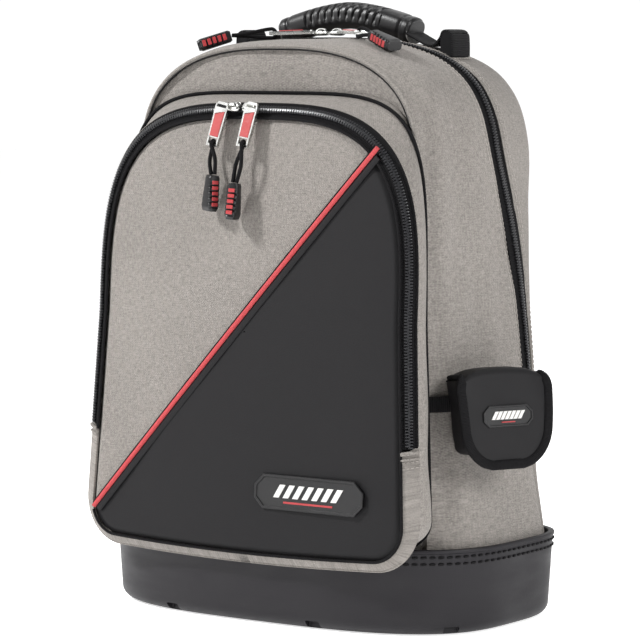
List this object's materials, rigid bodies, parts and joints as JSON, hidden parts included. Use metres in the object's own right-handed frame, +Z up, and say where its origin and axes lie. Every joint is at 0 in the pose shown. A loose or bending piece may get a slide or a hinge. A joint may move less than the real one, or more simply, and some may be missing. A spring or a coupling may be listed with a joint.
{
  "type": "tool backpack",
  "caption": "Soft tool backpack on a moulded open base, with an arched main zip, a large front pocket with a diagonal face, a side pouch, a carry handle and padded straps.",
  "frame": {"origin": "on the floor under the middle of the bag, in the base's flat underside", "axes": "+X to the right as seen from the front, -Y to the front, +Z up"},
  "size_m": [0.4101, 0.2522, 0.5057],
  "materials": {
    "grey_cloth": "coarse polyester weave",
    "black_cloth": "smooth coated cloth",
    "pad_cloth": "air mesh over foam",
    "webbing": "woven polyester",
    "pull_cord": "braided polyester cord",
    "zip_tape": "woven tape",
    "zip_coil": "nylon coil",
    "tub_plastic": "moulded, soft gloss",
    "buckle_plastic": "moulded, fine grain",
    "grip_rubber": "moulded, satin",
    "red_piping": "woven cover over a cord",
    "pull_metal": "polished cast zinc",
    "pull_insert": "soft, satin",
    "badge_rubber": "moulded, satin"
  },
  "bodies": {
    "root": {"base_tub": "tub_plastic", "gusset_front": "grey_cloth", "gusset_back": "grey_cloth", "main_zip_tape": "zip_tape", "main_zip_chain": "zip_coil", "front_panel": "grey_cloth", "back_panel": "pad_cloth", "pocket_gusset": "grey_cloth", "pocket_face_grey": "grey_cloth", "pocket_face_black": "black_cloth", "pocket_piping": "red_piping", "pocket_welt": "black_cloth", "pocket_zip_tape": "zip_tape", "pocket_zip_chain": "zip_coil", "pocket_badge": "badge_rubber", "handle_grip": "grip_rubber", "handle_strap_left": "webbing", "handle_strap_right": "webbing", "shoulder_pad_left": "pad_cloth", "shoulder_pad_right": "pad_cloth", "strap_buckle_left": "buckle_plastic", "strap_buckle_right": "buckle_plastic", "strap_webbing_left": "webbing", "strap_webbing_right": "webbing", "pocket_left_slider": "pull_metal", "pocket_left_puller": "pull_metal", "pocket_left_insert": "pull_insert", "pocket_left_cord": "pull_cord", "pocket_left_end": "grip_rubber", "pocket_right_slider": "pull_metal", "pocket_right_puller": "pull_metal", "pocket_right_insert": "pull_insert", "pocket_right_cord": "pull_cord", "pocket_right_end": "grip_rubber", "main_left_slider": "pull_metal", "main_left_puller": "pull_metal", "main_left_insert": "pull_insert", "main_left_cord": "pull_cord", "main_left_end": "grip_rubber", "main_right_slider": "pull_metal", "main_right_puller": "pull_metal", "main_right_insert": "pull_insert", "main_right_cord": "pull_cord", "main_right_end": "grip_rubber", "pouch_body": "black_cloth", "pouch_flap": "black_cloth", "pouch_binding": "webbing", "pouch_badge": "badge_rubber", "pouch_strap": "webbing"}
  },
  "joints": []
}
